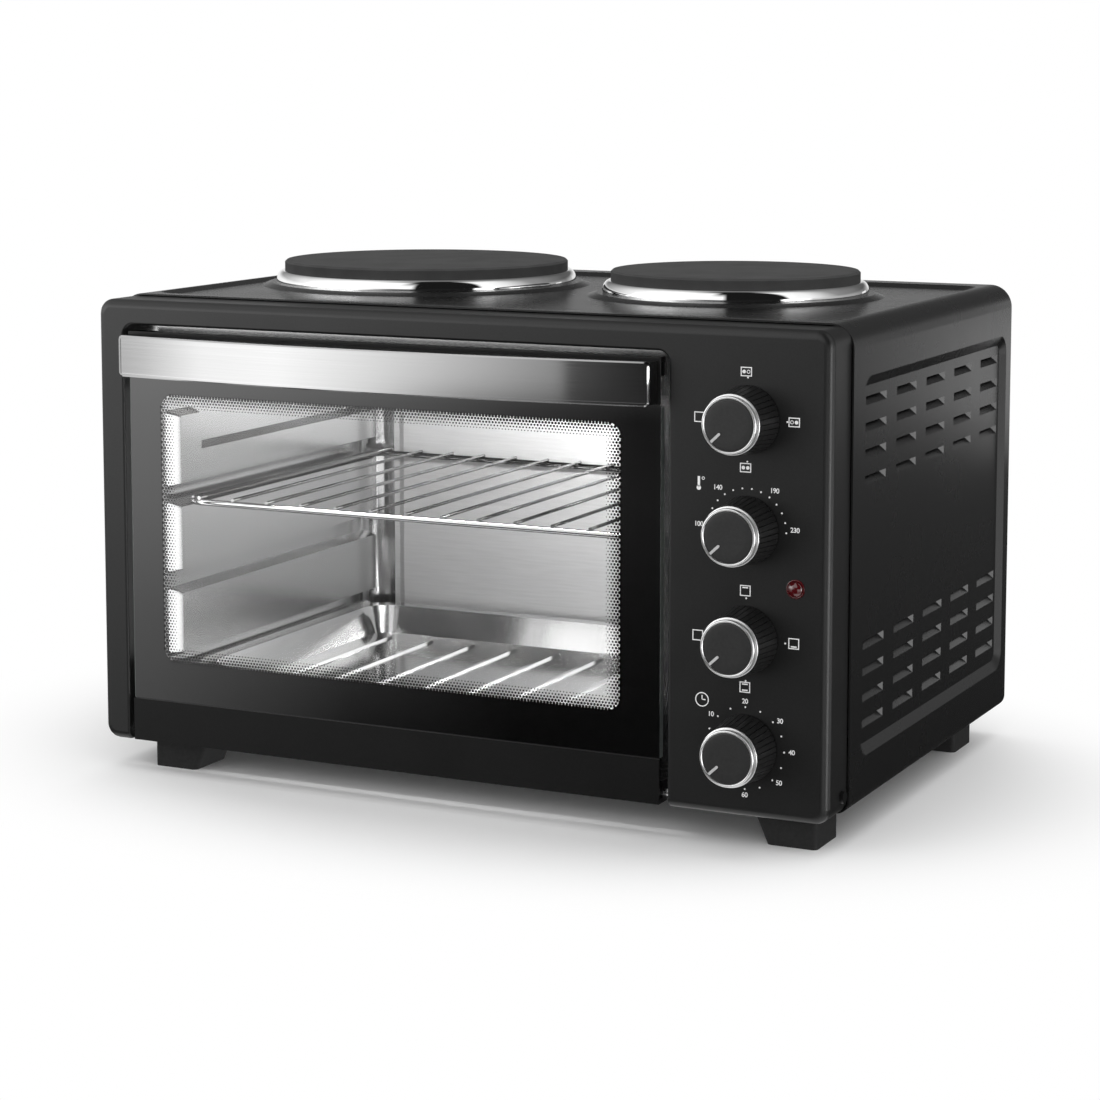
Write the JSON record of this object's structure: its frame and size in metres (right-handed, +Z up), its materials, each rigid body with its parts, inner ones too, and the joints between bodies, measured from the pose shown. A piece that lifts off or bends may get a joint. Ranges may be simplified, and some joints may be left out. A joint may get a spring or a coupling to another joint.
{
  "type": "table-top oven with hot plates",
  "caption": "Black table-top oven with a drop-down glass door, rack, baking tray, dial controls and round cast-iron hot plates on top.",
  "frame": {"origin": "middle of the whole object's box, on the surface that its feet stand on", "axes": "+Z up, front face and door towards -Y, control panel on the +X side"},
  "size_m": [0.481, 0.361, 0.307],
  "materials": {
    "black_paint": "satin black powder coat with a fine grain",
    "bright_sheet": "bright aluminised sheet, lightly rolled",
    "zinc_steel": "zinc plated",
    "heater_steel": "dull heat-resistant sheath",
    "ceramic": "unglazed white",
    "cast_iron": "matt dark grey, finely turned",
    "chrome": "polished",
    "black_rubber": "matt moulded",
    "door_glass": "clear toughened pane with a black dotted border",
    "stainless": "bright brushed plate with a polished bevel",
    "black_plastic": "satin moulded",
    "switch_plastic": "brown phenolic",
    "red_lens": "clear dark red, faceted inside"
  },
  "bodies": {
    "chassis": {"outer_wrapper": "black_paint", "base_pan": "black_paint", "rear_panel": "black_paint", "rear_panel_screws": "zinc_steel", "frame_screws": "zinc_steel", "cord_gland": "black_rubber", "terminal_block": "switch_plastic", "front_frame": "black_paint", "cavity_mouth": "bright_sheet", "cavity_left_wall": "bright_sheet", "cavity_right_wall": "bright_sheet", "cavity_back_wall": "bright_sheet", "cavity_top": "bright_sheet", "cavity_floor": "bright_sheet", "upper_front_heater": "heater_steel", "upper_rear_heater": "heater_steel", "lower_front_heater": "heater_steel", "lower_rear_heater": "heater_steel", "heater_bushes": "ceramic", "thermostat_bulb": "heater_steel", "left_hotplate": "cast_iron", "left_spill_ring": "chrome", "left_clamp_bar": "zinc_steel", "right_hotplate": "cast_iron", "right_spill_ring": "chrome", "right_clamp_bar": "zinc_steel", "clamp_nuts": "zinc_steel", "front_left_foot": "black_rubber", "front_right_foot": "black_rubber", "rear_left_foot": "black_rubber", "rear_right_foot": "black_rubber", "hinge_brackets": "zinc_steel", "door_springs": "zinc_steel", "hotplate_switch": "switch_plastic", "function_switch": "switch_plastic", "thermostat": "switch_plastic", "timer": "switch_plastic", "indicator_lens": "red_lens", "indicator_lamp": "switch_plastic"},
    "door": {"door_glass": "door_glass", "door_bottom_strip": "black_paint", "hinge_pins": "zinc_steel", "door_top_rail": "black_paint", "handle_plate": "stainless", "handle_core": "black_plastic"},
    "timer_knob_body": {"timer_knob": "black_plastic", "timer_knob_ring": "chrome", "timer_shaft": "zinc_steel"},
    "function_knob_body": {"function_knob": "black_plastic", "function_knob_ring": "chrome", "function_shaft": "zinc_steel"},
    "thermostat_knob_body": {"thermostat_knob": "black_plastic", "thermostat_knob_ring": "chrome", "thermostat_shaft": "zinc_steel"},
    "hotplate_knob_body": {"hotplate_knob": "black_plastic", "hotplate_knob_ring": "chrome", "hotplate_shaft": "zinc_steel"},
    "rack": {"wire_rack": "chrome"},
    "tray": {"baking_tray": "bright_sheet"}
  },
  "joints": [
    {"name": "door_hinge", "type": "hinge", "parent": "chassis", "child": "door", "pos_m": [0, -0.1455, 0.025], "axis": [1, 0, 0], "range_deg": [0, 85], "stiffness_Nm_per_rad": 0.6, "springref_deg": -28.65},
    {"name": "hotplate_turn", "type": "hinge", "parent": "chassis", "child": "hotplate_knob_body", "pos_m": [0.1895, -0.1525, 0.241], "axis": [0, 1, 0], "continuous": true},
    {"name": "thermostat_turn", "type": "hinge", "parent": "chassis", "child": "thermostat_knob_body", "pos_m": [0.1895, -0.1525, 0.1798], "axis": [0, 1, 0], "range_deg": [0, 225]},
    {"name": "function_turn", "type": "hinge", "parent": "chassis", "child": "function_knob_body", "pos_m": [0.1895, -0.1525, 0.1186], "axis": [0, 1, 0], "continuous": true},
    {"name": "timer_turn", "type": "hinge", "parent": "chassis", "child": "timer_knob_body", "pos_m": [0.1895, -0.1525, 0.0574], "axis": [0, 1, 0], "range_deg": [0, 315]},
    {"name": "rack_slide", "type": "slide", "parent": "chassis", "child": "rack", "axis": [0, -1, 0], "range_m": [0, 0.18]},
    {"name": "tray_slide", "type": "slide", "parent": "chassis", "child": "tray", "axis": [0, -1, 0], "range_m": [0, 0.068]}
  ],
  "couplings": [
    {"joint": "rack_slide", "follows": "door_hinge", "m_per_rad": 0.12},
    {"joint": "tray_slide", "follows": "door_hinge", "m_per_rad": 0.045}
  ]
}
